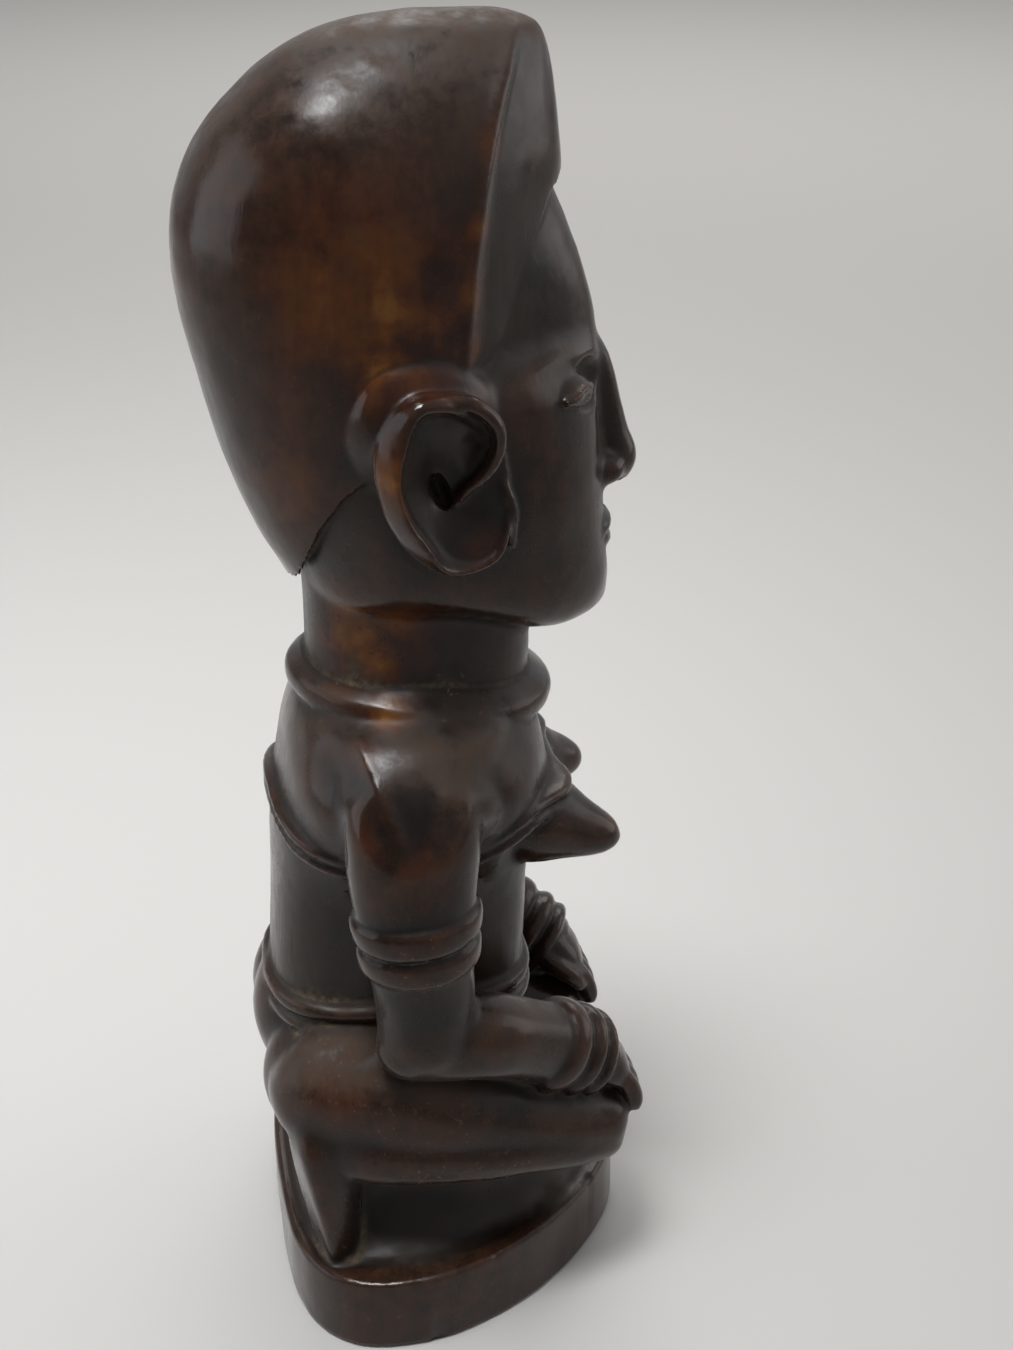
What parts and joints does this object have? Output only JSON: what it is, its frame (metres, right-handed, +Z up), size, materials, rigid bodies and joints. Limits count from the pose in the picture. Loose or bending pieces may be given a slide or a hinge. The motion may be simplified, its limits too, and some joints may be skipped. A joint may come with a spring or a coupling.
{
  "type": "carved wooden kneeling figure",
  "caption": "Kneeling woman in a tall mitre-like cap, hands on her knees, carved with her rounded base from one block of dark wood.",
  "frame": {"origin": "on the underside of the base, below the front half of the neck", "axes": "+Z up, -Y the way she faces, +X her left"},
  "size_m": [0.0914, 0.0883, 0.27],
  "materials": {
    "carved_wood": "dark brown hand-polished patina with a soft gloss, amber where worn, and pale dirt in the grooves"
  },
  "bodies": {
    "root": {"kneeling_figure": "carved_wood"}
  },
  "joints": []
}
